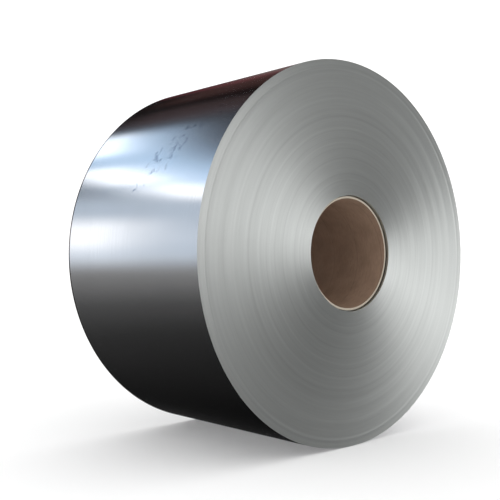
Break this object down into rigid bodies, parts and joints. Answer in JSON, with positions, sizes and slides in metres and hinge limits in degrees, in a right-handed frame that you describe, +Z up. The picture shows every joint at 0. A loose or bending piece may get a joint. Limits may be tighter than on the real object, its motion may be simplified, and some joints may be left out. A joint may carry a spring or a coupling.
{
  "type": "steel coil",
  "caption": "Coil of bright cold-rolled steel strip wound on a brown paper core tube, lying on its side with its bore level.",
  "frame": {"origin": "on the floor, under the middle of the coil", "axes": "+X along the coil's axis, out of the end that the picture shows; +Z up"},
  "size_m": [1.0024, 1.7691, 1.7695],
  "materials": {
    "bright_strip": "bright cold-rolled surface, mirror-like round the outside and matt where the strip's cut edges lie side by side on the ends",
    "kraft_paper": "matt brown kraft paper, paler on the cut ends of the tube"
  },
  "bodies": {
    "root": {"steel_coil": "bright_strip", "paper_core": "kraft_paper"}
  },
  "joints": []
}
